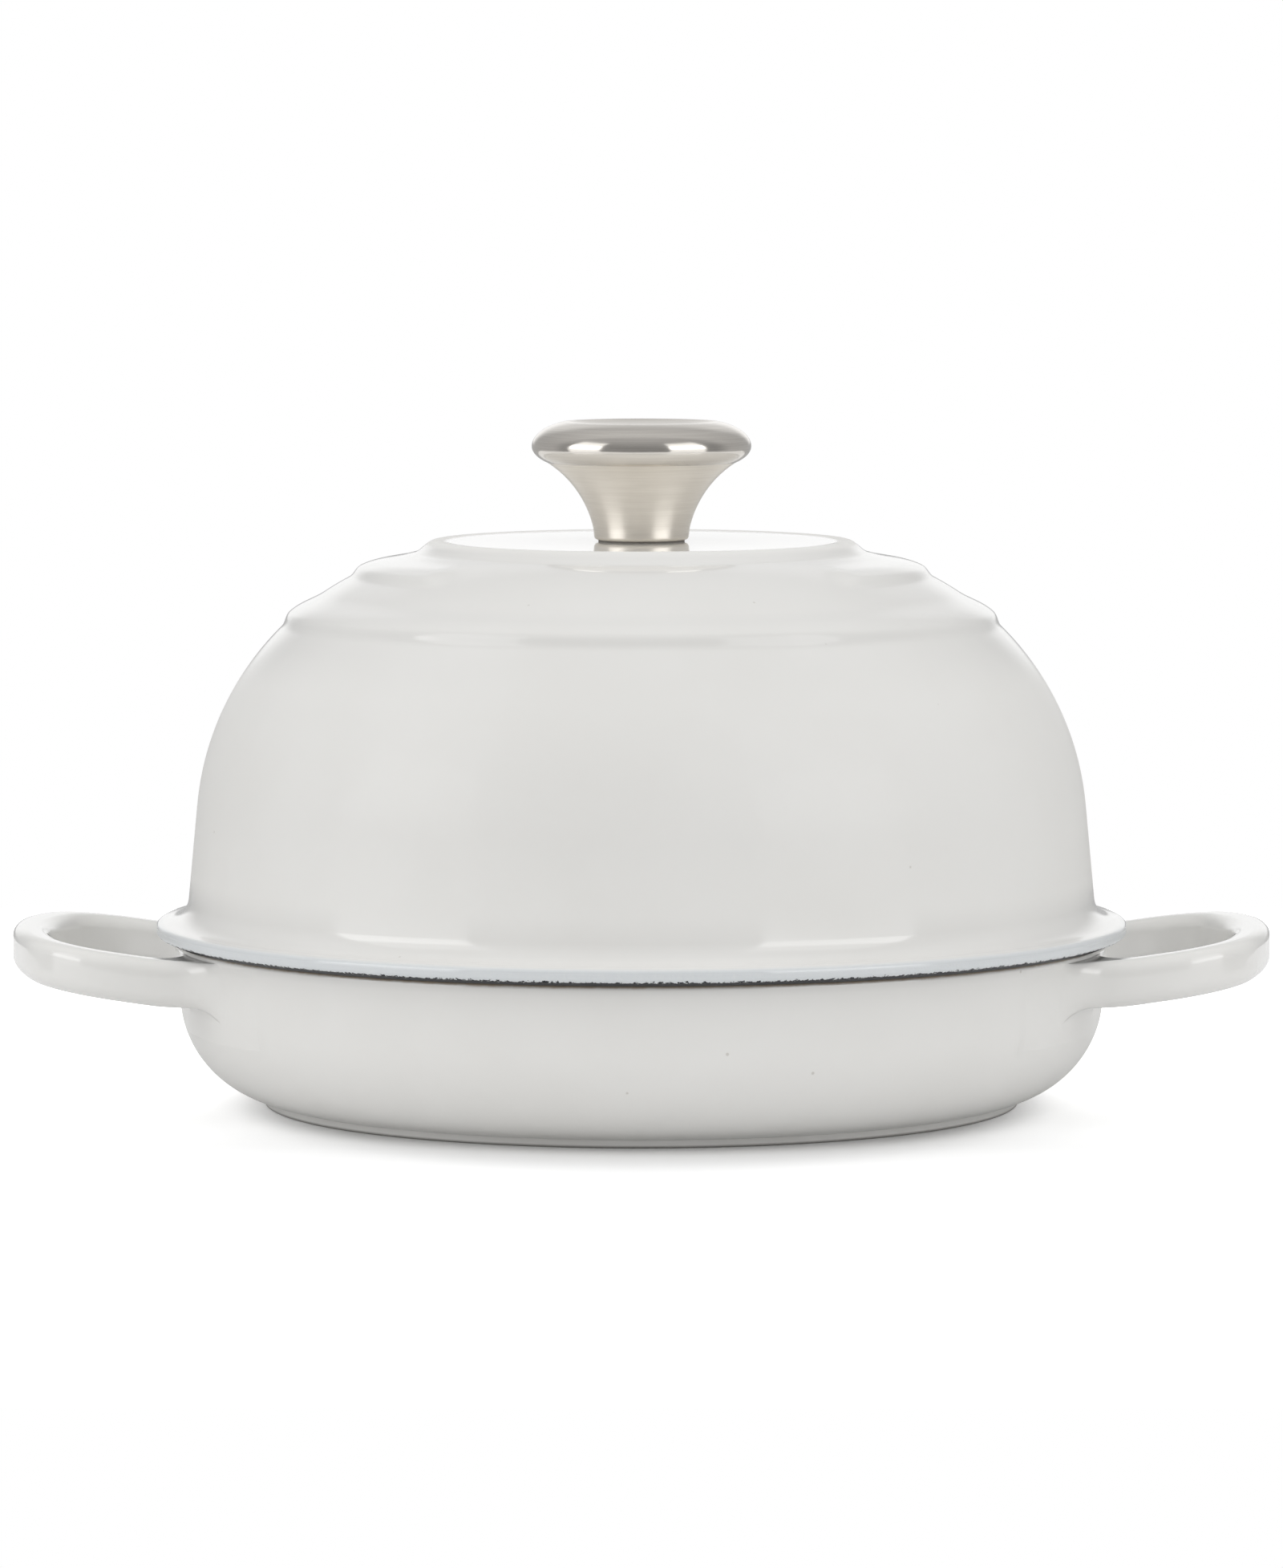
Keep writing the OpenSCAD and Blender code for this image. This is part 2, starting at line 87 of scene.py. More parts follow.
# Dome
DOME_R = 117.6
DOME_DRAFT = math.radians(5.4)
SHOULDER_R = 73.5
CROWN_H = 100.9
DOME_WALL = 3.8
FLANGE_R = 125.0
FLANGE_T = 4.3
FLANGE_LIFT = 0.8
FLANGE_ROUND = 1.2
FLANGE_FILLET = 6.0
FLANGE_SLOPE = math.radians(8)
LIP_DEPTH = 4.0
LIP_W = 3.2
LIP_GAP = 1.0
LIP_ROUND = 0.6
LIP_BLEND_H = 12.0
OUTER_RING_R = 92.6
MIDDLE_RING_R = 75.3
RING_H = 1.4
RING_RISE = 4.0
OUTER_RING_FALL = 10.0
MIDDLE_RING_FALL = 12.0
RING_GAP = math.radians(84)
NO_GAP = -1.0
RING_FADE = 10.0
CROWN_R = 58.6
CROWN_FLAT_H = 101.75
CROWN_STEP = 5.5
CROWN_BEAD = 0.3
BEAD_HALF_W = 4.0
LINING_T = 0.4
LINING_DROP = 1.0
HOLE_R = 3.5

# Knob
GASKET_T = 0.4
KNOB_H = 30.3
KNOB_R = 28.2
ROLL_W = 13.0
ROLL_H = 6.8
ROLL_UNDER = 5.8
ROLL_SEAM = math.radians(45)
ROLL_LIP = math.radians(23)
DISH_DEPTH = 1.6
FLARE_R = 26.9
NECK_R = 12.4
WAIST_H = 3.0
NECK_FOOT_ROUND = 1.1
NECK_FOOT_IN = 0.2
NECK_LEAN = math.radians(12.5)
NECK_FLOOR = 2.0
KNOB_WALL = 1.2

# Places that these sizes give
CROWN_Z = SEAT_H + CROWN_FLAT_H
CREST_R = CROWN_R - CROWN_STEP
CEILING_Z = SEAT_H + CROWN_H - DOME_WALL
KNOB_Z = CROWN_Z + GASKET_T
KNOB_TOP = KNOB_Z + KNOB_H
FLOOR_Z = FOOT_H + PAN_FLOOR

# The camera stands in front and looks down a little
CAMERA_PLACE_M = (0, -2.140, 0.2633)
CAMERA_TILT = math.radians(4.84)
CAMERA_LENS = 191.34
CAMERA_SENSOR = 36

# The studio. Directions are degrees to the right of the camera's side, heights are degrees up.
# A soft light has the directions where it starts, is brightest and ends.
SOFT_LEFT = (-155, -70, 10)
SOFT_RIGHT = (0, 80, 165)
SOFT_FRONT = (-110, 0, 110)
# Brightness of the room itself, and what the left, right and front light add, at three heights
LOW_LIGHT = (0.39, -0.15, 0.47, -0.30)
MIDDLE_LIGHT = (0.43, 1.25, 1.07, 0.10)
HIGH_LIGHT = (0.20, 0.95, 0.65, 0.60)
CEILING_LIGHT = 1.51
# Heights between which one level passes into the next
TO_MIDDLE = (-4, 12)
TO_HIGH = (22, 38)
TO_CEILING = (52, 68)
# What gloss mirrors instead: a dim room with two softboxes, bright at their foot. A box has the
# directions or heights where it starts, is full, fades and ends.
LEFT_BOX = (-85, -81, -46, -43)
RIGHT_BOX = (29, 32, 70, 74)
BOX_TOP = (54, 42)
BOX_FOOT = (6, 10, 26, 31)
BOX_TOP_LIGHT = 0.9
BOX_FOOT_LIGHT = 1.5
ROOM_GLOSS = 0.27
UPPER_GLOSS = 0.16
BACK_GLOSS = 0.16
BACK_WALL_GLOSS = 0.30

# The table glows faintly for the camera past the shadow's edge, and more far out. The shadow is
# narrower at the sides than in front and behind.
SHADOW_EDGE = (120, 155)
SHADOW_NARROWING = 2.05
NEAR_GLOW = (0.16, 0.65)
FAR_EDGE = (180, 300)
FAR_GLOW = 0.4


# Profiles: points as radius and height

def polar(centre, radius, angle):
    return (centre[0] + radius * math.cos(angle), centre[1] + radius * math.sin(angle))


def arc(centre, radius, start, end, count):
    return [polar(centre, radius, start + (end - start) * i / count) for i in range(count + 1)]


def ease(x):
    x = min(max(x, 0.0), 1.0)
    return (1 - math.cos(math.pi * x)) / 2


def mix(a, b, t):
    return a + (b - a) * t


def fine(points, step):
    """The same outline with no stretch longer than step, and no point twice."""
    out = [points[0]]
    for point in points[1:]:
        start = out[-1]
        length = math.dist(start, point)
        if length < TOUCHING:
            continue
        count = max(1, math.ceil(length / step))
        out += [(mix(start[0], point[0], i / count), mix(start[1], point[1], i / count))
                for i in range(1, count + 1)]
    return out


def pan_wall_r(z):
    return PAN_R - (SEAT_H - z) * math.tan(PAN_DRAFT)


def pan_inner_r(z):
    return pan_wall_r(z) - PAN_WALL / math.cos(PAN_DRAFT)


CORNER_Z = FOOT_H + PAN_ROUND
PAN_CENTRE = (pan_wall_r(CORNER_Z) - PAN_ROUND / math.cos(PAN_DRAFT), CORNER_Z)
INNER_CORNER_Z = FLOOR_Z + PAN_INNER_ROUND
PAN_INNER_CENTRE = (pan_inner_r(INNER_CORNER_Z) - PAN_INNER_ROUND / math.cos(PAN_DRAFT),
                    INNER_CORNER_Z)


def pan_outer_r(z):
    """Radius of the pan's wall at a height, and of the round below it."""
    if z > PAN_CENTRE[1] - PAN_ROUND * math.sin(PAN_DRAFT):
        return pan_wall_r(z)
    return PAN_CENTRE[0] + math.sqrt(PAN_ROUND ** 2 - (z - PAN_CENTRE[1]) ** 2)


def pan_hollow(skin, top):
    """Inside of the pan from a height down to the middle of its floor, drawn in by a skin."""
    wall_top = (pan_inner_r(top) - skin / math.cos(PAN_DRAFT), top)
    corner = arc(PAN_INNER_CENTRE, PAN_INNER_ROUND - skin, -PAN_DRAFT, -math.pi / 2, 24)
    return [wall_top, *corner, (0, FLOOR_Z + skin)]


def dome_outer_r(z):
    return DOME_R - (z - SEAT_H) * math.tan(DOME_DRAFT)


def dome_inner_r(z):
    return dome_outer_r(z) - DOME_WALL / math.cos(DOME_DRAFT)


SHOULDER_Z = SEAT_H + CROWN_H - SHOULDER_R
SHOULDER = (dome_outer_r(SHOULDER_Z) - SHOULDER_R / math.cos(DOME_DRAFT), SHOULDER_Z)
LIP_Z = SEAT_H - LIP_DEPTH
LIP_R = pan_inner_r(LIP_Z) - LINING_T - LIP_GAP


def shoulder_angle(r):
    return math.acos((r - SHOULDER[0]) / SHOULDER_R)


def crown_height(r):
    """Height of the dome from the foot of the crown's step inwards, with a bead at its edge."""
    rise = ease((CROWN_R - r) / CROWN_STEP)
    shoulder_top = SHOULDER[1] + math.sqrt(SHOULDER_R ** 2 - max(0, r - SHOULDER[0]) ** 2)
    bead = CROWN_BEAD * ease(1 - abs(r - CREST_R) / BEAD_HALF_W)
    return mix(shoulder_top, CROWN_Z, rise) + bead


def dome_outside():
    """Outside of the dome from the screw's hole in the crown down to the seat, without rings."""
    flat_r = CREST_R - 2 * BEAD_HALF_W
    slope = math.tan(FLANGE_SLOPE)
    draft = math.tan(DOME_DRAFT)
    edge_r = FLANGE_R - FLANGE_ROUND
    fillet_out = FLANGE_FILLET / math.cos(DOME_DRAFT)
    fillet_z = (SEAT_H + FLANGE_T + edge_r * slope + FLANGE_FILLET / math.cos(FLANGE_SLOPE)
                - slope * (DOME_R + SEAT_H * draft + fillet_out)) / (1 - slope * draft)
    fillet_centre = (dome_outer_r(fillet_z) + fillet_out, fillet_z)
    upper_round = (edge_r, SEAT_H + FLANGE_T - FLANGE_ROUND)
    lower_round = (edge_r, SEAT_H + FLANGE_LIFT + FLANGE_ROUND)
    crown_pitch = 0.4
    outline = fine([(HOLE_R, CROWN_Z), (flat_r, CROWN_Z)], step=4)
    outline += [(r, crown_height(r)) for r in np.arange(flat_r + crown_pitch, CROWN_R, crown_pitch)]
    outline += arc(SHOULDER, SHOULDER_R, shoulder_angle(CROWN_R), DOME_DRAFT, 130)
    outline += arc(fillet_centre, FLANGE_FILLET, math.pi + DOME_DRAFT,
                   1.5 * math.pi - FLANGE_SLOPE, 10)
    outline += arc(upper_round, FLANGE_ROUND, math.pi / 2 - FLANGE_SLOPE, 0, 6)
    outline += arc(lower_round, FLANGE_ROUND, 0, -math.pi / 2, 6)
    return outline + [(edge_r - 2 * FLANGE_LIFT, SEAT_H)]


def dome_hollow(skin, bottom):
    """Inside of the dome from its lip up to the ceiling, drawn in by a skin."""
    mouth_r = LIP_R - LIP_W - skin
    blend_z = SEAT_H + LIP_BLEND_H
    shoulder = arc(SHOULDER, SHOULDER_R - DOME_WALL - skin, DOME_DRAFT, math.pi / 2, 60)
    return [(mouth_r, bottom), (mouth_r, SEAT_H), (dome_inner_r(blend_z) - skin, blend_z),
            *shoulder, (HOLE_R, CEILING_Z - skin)]


# Meshes

def turn(profile, columns, closed=False, sweep=math.tau):
    """Vertices, faces and rows of an outline turned round the axis, one vertex for each pole."""
    count = columns if sweep == math.tau else columns + 1
    angles = [sweep * i / columns for i in range(count)]
    verts, rows = [], []
    for r, z in profile:
        if r < TOUCHING:
            rows.append([len(verts)] * count)
            verts.append((0.0, 0.0, z))
        else:
            rows.append(list(range(len(verts), len(verts) + count)))
            verts += [(r * math.cos(a), r * math.sin(a), z) for a in angles]
    pairs = list(zip(rows, rows[1:])) + ([(rows[-1], rows[0])] if closed else [])
    faces = []
    for low, high in pairs:
        for i in range(columns):
            j = (i + 1) % count
            corners = dict.fromkeys((low[i], low[j], high[j], high[i]))
            faces.append(tuple(corners))
    return verts, faces, rows


def smooth(mesh):
    mesh.shade_smooth()
    mesh.set_sharp_from_angle(angle=SHARP_ANGLE)


def make_mesh(name, verts, faces, mirrored=""):
    """An object at the origin from points in millimetres, mirrored along axes and welded."""
    mesh = bpy.data.meshes.new(name)
    mesh.from_pydata([(x * MM, y * MM, z * MM) for x, y, z in verts], [], faces)
    work = bmesh.new()
    work.from_mesh(mesh)
    loose = [v for v in work.verts if not v.link_faces]
    bmesh.ops.delete(work, geom=loose, context="VERTS")
    for axis in mirrored:
        whole = work.verts[:] + work.edges[:] + work.faces[:]
        bmesh.ops.mirror(work, geom=whole, axis=axis, merge_dist=WELD_M)
    bmesh.ops.remove_doubles(work, verts=work.verts, dist=WELD_M)
    bmesh.ops.recalc_face_normals(work, faces=work.faces)
    work.to_mesh(mesh)
    work.free()
    smooth(mesh)
    obj = bpy.data.objects.new(name, mesh)
    bpy.context.scene.collection.objects.link(obj)
    return obj


def turned(name, profile, columns, closed=False):
    verts, faces, _ = turn(profile, columns, closed)
    return make_mesh(name, verts, faces)


# Node trees

class Value:
    """A socket of a node tree. Arithmetic on it adds Math nodes."""

    def __init__(self, nodes, socket):
        self.nodes = nodes
        self.socket = socket

    def math(self, operation, *others):
        sockets = dict(enumerate((self,) + others))
        return self.nodes.add("ShaderNodeMath", {"operation": operation}, sockets)

    def reflected(self, operation, first):
        return self.nodes.add("ShaderNodeMath", {"operation": operation}, {0: first, 1: self})

    def __add__(self, other):
        return self.math("ADD", other)

    def __sub__(self, other):
        return self.math("SUBTRACT", other)

    def __mul__(self, other):
        return self.math("MULTIPLY", other)

    def __truediv__(self, other):
        return self.math("DIVIDE", other)

    def __rsub__(self, other):
        return self.reflected("SUBTRACT", other)

    def __rtruediv__(self, other):
        return self.reflected("DIVIDE", other)

    __radd__ = __add__
    __rmul__ = __mul__

    def clamp(self, low=0.0, high=1.0):
        return self.math("MAXIMUM", low).math("MINIMUM", high)

    def ramp(self, start, end):
        """0 before start and 1 after end, with soft ends; start may be the larger."""
        x = ((self - start) / (end - start)).clamp()
        return x * x * (3 - 2 * x)

    def window(self, start, full, fade, end):
        """1 from full to fade, and softly down to 0 at start and end."""
        return self.ramp(start, full) * self.ramp(end, fade)


class Nodes:
    """The nodes of one tree."""

    def __init__(self, tree):
        self.tree = tree
        tree.nodes.clear()

    def add(self, kind, settings=None, sockets=None, out=0):
        """A new node: its settings come first, then the values or links of its sockets."""
        node = self.tree.nodes.new(kind)
        for name, value in (settings or {}).items():
            setattr(node, name, value)
        for name, value in (sockets or {}).items():
            if isinstance(value, Value):
                self.tree.links.new(value.socket, node.inputs[name])
            else:
                node.inputs[name].default_value = value
        return Value(self, node.outputs[out]) if node.outputs else None

    def out(self, value, name):
        """Another output of the node that a value comes from."""
        return Value(self, value.socket.node.outputs[name])

    def xyz(self, vector):
        """The three numbers of a vector."""
        split = self.add("ShaderNodeSeparateXYZ", sockets={0: vector})
        return [self.out(split, axis) for axis in "XYZ"]

    def vector(self, x, y, z):
        return self.add("ShaderNodeCombineXYZ", sockets={0: x, 1: y, 2: z})

    def blend(self, factor, first, second):
        """A colour between two."""
        factor_socket, first_socket, second_socket, result = 0, 6, 7, 2
        return self.add("ShaderNodeMix", {"data_type": "RGBA"}, {
            factor_socket: factor, first_socket: first, second_socket: second}, out=result)

    def noise(self, vector, scale, detail=2.0, roughness=0.5):
        return self.add("ShaderNodeTexNoise", None, {
            "Vector": vector, "Scale": scale, "Detail": detail, "Roughness": roughness})

    def bump(self, height, strength):
        """The normal of a surface with a relief of this height."""
        return self.add("ShaderNodeBump", None,
                        {"Strength": strength, "Distance": MM, "Height": height})


def grow(obj, tree, values):
    """Runs a Geometry Nodes tree on an object with named values and keeps what it makes."""
    modifier = obj.modifiers.new(tree.name, "NODES")
    modifier.node_group = tree
    for item in tree.interface.items_tree:
        if item.item_type == "SOCKET" and item.name in values:
            modifier[item.identifier] = values[item.name]
    depsgraph = bpy.context.evaluated_depsgraph_get()
    mesh = bpy.data.meshes.new_from_object(obj.evaluated_get(depsgraph), depsgraph=depsgraph)
    obj.modifiers.remove(modifier)
    old = obj.data
    obj.data = mesh
    bpy.data.meshes.remove(old)
    smooth(mesh)


def geometry_tree(name, inputs):
    """A Geometry Nodes tree with named inputs: the tree, its nodes and a dictionary of values."""
    tree = bpy.data.node_groups.new(name, "GeometryNodeTree")
    tree.interface.new_socket("Geometry", in_out="OUTPUT", socket_type="NodeSocketGeometry")
    tree.interface.new_socket("Geometry", in_out="INPUT", socket_type="NodeSocketGeometry")
    for label in inputs:
        tree.interface.new_socket(label, in_out="INPUT", socket_type="NodeSocketFloat")
    tree.interface.new_socket("Finish", in_out="INPUT", socket_type="NodeSocketMaterial")
    nodes = Nodes(tree)
    first = nodes.add("NodeGroupInput")
    given = {label: nodes.out(first, label) for label in ["Geometry", "Finish"] + inputs}
    return tree, nodes, given


def end_tree(nodes, given, offset):
    """Moves the points by an offset, and ends with Realize Instances and Set Material."""
    moved = nodes.add("GeometryNodeSetPosition", None,
                      {"Geometry": given["Geometry"], "Offset": offset})
    whole = nodes.add("GeometryNodeRealizeInstances", None, {"Geometry": moved})
    finished = nodes.add("GeometryNodeSetMaterial", None,
                         {"Geometry": whole, "Material": given["Finish"]})
    nodes.add("NodeGroupOutput", None, {0: finished})


def step_ring_tree():
    """Raises one step ring on the dome's shoulder: steep outside, gentle inside, open in front."""
    tree, nodes, given = geometry_tree("step_ring", [
        "Foot Radius", "Height", "Rise", "Fall", "Gap", "Fade",
        "Shoulder Radius", "Shoulder Centre", "Shoulder Height"])
    x, y, z = nodes.xyz(nodes.add("GeometryNodeInputPosition"))
    r = (x * x + y * y).math("SQRT")
    centre, radius = given["Shoulder Centre"], given["Shoulder Radius"]
    across = r - centre
    up = z - given["Shoulder Height"]
    reach = (across * across + up * up).math("SQRT")
    angle = up.math("ARCTAN2", across)
    foot = ((given["Foot Radius"] - centre) / radius).math("ARCCOSINE")
    along = (angle - foot) * radius

    def eased(value):
        return (1 - (value.clamp() * math.pi).math("COSINE")) / 2

    from_front = (y * -1 / r).clamp().math("ARCCOSINE")
    past_gap = (from_front - given["Gap"] / 2) * given["Foot Radius"] / given["Fade"]
    behind = y.math("GREATER_THAN", 0.0)
    rise = eased(along / given["Rise"])
    fall = eased((along - given["Rise"]) / given["Fall"])
    relief = (rise - fall) * given["Height"] * eased(past_gap.math("MAXIMUM", behind))
    lift = relief * reach.math("GREATER_THAN", radius - MM)
    level = lift * angle.math("COSINE") / r
    end_tree(nodes, given, nodes.vector(x * level, y * level, lift * angle.math("SINE")))
    return tree


def baking_ridge_tree():
    """Raises the rings on the pan's floor at every step of the pitch."""
    tree, nodes, given = geometry_tree("baking_ridges", [
        "Pitch", "Count", "Width", "Height", "Floor Top"])
    flat_m = 0.00002
    x, y, z = nodes.xyz(nodes.add("GeometryNodeInputPosition"))
    r = (x * x + y * y).math("SQRT")
    number = (r / given["Pitch"]).math("ROUND").clamp(1.0, given["Count"])
    off = (r - number * given["Pitch"]) / given["Width"]
    wave = (off.math("ABSOLUTE").math("MINIMUM", 0.5) * math.pi).math("COSINE")
    on_floor = (z - given["Floor Top"]).math("ABSOLUTE").math("LESS_THAN", flat_m)
    end_tree(nodes, given, nodes.vector(0.0, 0.0, wave * wave * given["Height"] * on_floor))
    return tree


# Finishes

def colour(red, green, blue):
    return (red, green, blue, 1.0)


ENAMEL = (colour(0.775, 0.768, 0.745), colour(0.795, 0.789, 0.768))
PINHOLE = colour(0.30, 0.26, 0.21)
THIN_ENAMEL = colour(0.66, 0.685, 0.70)
BARE_IRON = colour(0.018, 0.020, 0.024)
BROWN_RIM = colour(0.42, 0.30, 0.19)
WORN_FOOT = colour(0.20, 0.19, 0.18)
BLACK_ENAMEL = (colour(0.014, 0.014, 0.015), colour(0.030, 0.030, 0.032))
BLACK_FLECK = colour(0.09, 0.09, 0.10)
CAP_STEEL = (colour(0.72, 0.685, 0.635), colour(0.86, 0.82, 0.765))
# The neck's steel is the cap's steel painted lighter: painted light for the dim light the neck gets
# under the cap
NECK_STEEL_PAINTED_LIT = (colour(0.89, 0.84, 0.765), colour(0.99, 0.945, 0.87))
PLAIN_STEEL = (colour(0.56, 0.56, 0.56), colour(0.68, 0.68, 0.67))
DARK_RUBBER = (colour(0.16, 0.150, 0.135), colour(0.23, 0.215, 0.195))
TABLE_WHITE = colour(0.88, 0.88, 0.88)


def new_finish(name):
    """A material, its nodes, and a point's place on the piece, its radius and its height."""
    material = bpy.data.materials.new(name)
    material.use_nodes = True
    nodes = Nodes(material.node_tree)
    place = nodes.out(nodes.add("ShaderNodeTexCoord"), "Object")
    x, y, z = nodes.xyz(place)
    return material, nodes, place, (x * x + y * y).math("SQRT") / MM, z / MM


def finish_with(nodes, sockets):
    shader = nodes.add("ShaderNodeBsdfPrincipled", None, sockets)
    nodes.add("ShaderNodeOutputMaterial", None, {"Surface": shader})


def specks(nodes, place, size, share):
    """Sparse round specks: 1 in a speck and 0 elsewhere."""
    cells = nodes.add("ShaderNodeTexVoronoi", {"feature": "F1"},
                      {"Vector": place, "Scale": 1 / (size * MM)})
    lot = nodes.xyz(nodes.out(cells, "Color"))[0]
    near = nodes.out(cells, "Distance").ramp(0.16, 0.07)
    return near * lot.math("LESS_THAN", share)


def white_enamel(name, edge):
    """Off-white fired enamel. edge(nodes, place, r, z, tone) gives the thin places at the rims."""
    material, nodes, place, r, z = new_finish(name)
    cloud = nodes.noise(place, 22.0, 3.0)
    tone = nodes.blend(cloud.ramp(0.3, 0.7), *ENAMEL)
    tone = nodes.blend(specks(nodes, place, 3.5, 0.012) * 0.35, tone, PINHOLE)
    tone, gloss, glaze, pits = edge(nodes, place, r, z, tone)
    peel = nodes.noise(place, 180.0)
    swell = nodes.noise(place, 35.0)
    relief = peel * 0.01 + swell * 0.08 + pits
    finish_with(nodes, {
        "Base Color": tone, "Roughness": gloss, "IOR": 1.3, "Normal": nodes.bump(relief, 0.6),
        "Coat Weight": glaze, "Coat Roughness": 0.03, "Coat IOR": 1.62})
    return material


def dome_edge(nodes, place, r, z, tone):
    """The flange's outer face is thinly enamelled and pitted, and its lower edge is ground bare."""
    grain = nodes.noise(place, 900.0, 3.0, 0.6)
    face = r.ramp(FLANGE_R - 2.2, FLANGE_R - 0.8) * z.ramp(SEAT_H + 4.8, SEAT_H + 3.6)
    below_round = z.ramp(SEAT_H + 3.2, SEAT_H + 2.9)
    tone = nodes.blend((face * (0.75 + grain * 0.5)).clamp(), tone, THIN_ENAMEL)
    jag = nodes.noise(place, 1000.0, 4.0, 0.7)
    ground = (z + (jag - 0.5) * 2.6).ramp(SEAT_H + 1.12, SEAT_H + 0.98)
    bare = ground * r.ramp(LIP_R - 1.4, LIP_R - 0.9)
    tone = nodes.blend(bare, tone, BARE_IRON)
    wall = z.window(SEAT_H + 9, SEAT_H + 17, SEAT_H + 65, SEAT_H + 78.5)
    crest = r.window(CREST_R - 3.6, CREST_R - 1.9, CREST_R + 1.4, CREST_R + 3.1)
    gloss = 0.30 + wall * 0.12 + face * 0.1 + bare * 0.2 + crest * 0.25
    glaze = (1 - wall * 0.93 - crest * 0.9 - face * below_round * 0.6) * (1 - bare)
    pits = grain * face * below_round * 0.2 + jag * bare * 0.2
    return tone, gloss, glaze, pits


def pan_edge(nodes, place, r, z, tone):
    """The enamel of the pan's rim thins to a warm brown line."""
    jag = nodes.noise(place, 260.0, 3.0, 0.6)
    on_top = (z + (jag - 0.5) * 0.8).ramp(SEAT_H - 1.1, SEAT_H - 0.4)
    rim = on_top * r.window(PAN_R - 4.5, PAN_R - 4.0, PAN_R + 0.3, PAN_R + 0.7)
    tone = nodes.blend(rim * 0.75, tone, BROWN_RIM)
    foot = z.ramp(0.9, 0.2)
    tone = nodes.blend(foot * 0.8, tone, WORN_FOOT)
    wall = r.ramp(PAN_R + 2.5, PAN_R - 1.5) * z.ramp(SEAT_H - 1.5, SEAT_H - 3.5)
    gloss = 0.30 + foot * 0.2
    glaze = 1 - wall * 0.85 - foot * 0.15
    return tone, gloss, glaze, jag * foot * 0.1


def black_enamel():
    material, nodes, place, r, z = new_finish("black_enamel")
    cloud = nodes.noise(place, 60.0, 3.0)
    tone = nodes.blend(cloud, *BLACK_ENAMEL)
    tone = nodes.blend(specks(nodes, place, 1.6, 0.25) * 0.5, tone, BLACK_FLECK)
    grain = nodes.noise(place, 700.0)
    finish_with(nodes, {"Base Color": tone, "Roughness": 0.30 + cloud * 0.16, "IOR": 1.5,
                        "Normal": nodes.bump(grain * 0.06, 0.5)})
    return material


def ring_lines(nodes, place, r, z, per_mm):
    """Fine lines that run round the axis: noise that hardly changes with the azimuth."""
    x, y, _ = nodes.xyz(place)
    around = y.math("ARCTAN2", x)
    lines = nodes.vector(r * per_mm, z * per_mm, around * 0.9)
    return nodes.noise(lines, 1.0, 4.0, 0.65)


def brushed_steel(name, steel, gloss):
    """Steel brushed round the axis, so that its glints spread along the axis."""
    material, nodes, place, r, z = new_finish(name)
    lines = ring_lines(nodes, place, r, z, 5.2)
    wide = ring_lines(nodes, place, r, z, 0.9)
    tone = nodes.blend((lines * 0.6 + wide * 0.4).ramp(0.3, 0.7), *steel)
    finish_with(nodes, {
        "Base Color": tone, "Metallic": 1.0, "Roughness": gloss + wide * 0.10,
        "Normal": nodes.bump(lines * 0.01, 0.25),
        "Anisotropic": 0.75, "Anisotropic Rotation": 0.25})
    return material


def fixing_steel():
    material, nodes, place, r, z = new_finish("fixing_steel")
    lines = ring_lines(nodes, place, r, z, 3.0)
    cloud = nodes.noise(place, 300.0, 3.0)
    finish_with(nodes, {
        "Base Color": nodes.blend(cloud, *PLAIN_STEEL), "Metallic": 1.0,
        "Roughness": 0.22 + cloud * 0.15, "Normal": nodes.bump(lines * 0.02, 0.4)})
    return material


def gasket_rubber():
    material, nodes, place, r, z = new_finish("gasket_rubber")
    grain = nodes.noise(place, 2500.0, 3.0)
    finish_with(nodes, {
        "Base Color": nodes.blend(grain, *DARK_RUBBER), "Roughness": 0.62 + grain * 0.15,
        "Normal": nodes.bump(grain * 0.03, 0.4)})
    return material


WHITE_PAN = white_enamel("white_enamel_pan", pan_edge)
WHITE_DOME = white_enamel("white_enamel_dome", dome_edge)
BLACK = black_enamel()
BRUSHED_CAP = brushed_steel("brushed_steel_cap", CAP_STEEL, 0.11)
# The neck gets the lighter steel, painted light for the shade under the cap
BRUSHED_NECK = brushed_steel("brushed_steel_neck", NECK_STEEL_PAINTED_LIT, 0.37)
FIXING = fixing_steel()
RUBBER = gasket_rubber()


def dress(obj, material, slot, body, *nodes):
    """Gives a piece its finish and its body, and lets it stand for CAD nodes."""
    obj.data.materials.clear()
    obj.data.materials.append(material)
    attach(obj, body)
    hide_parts(*nodes)


# Pan with its handles. A quarter of its wall is a grid of columns and rows, and half a handle
# grows out of the rectangle between the first and the last column, from its bottom to the rim.

COLUMNS = 60
RECT_FIRST, RECT_LAST = 3, 25
RECT_ROWS = 14
RECT_BOTTOM = 19.5
RIM_START = SEAT_H - RIM_ROUND
BAND_Z = SEAT_H - HANDLE_DROP - BAND_H / 2
ROOT_LAYERS = 6


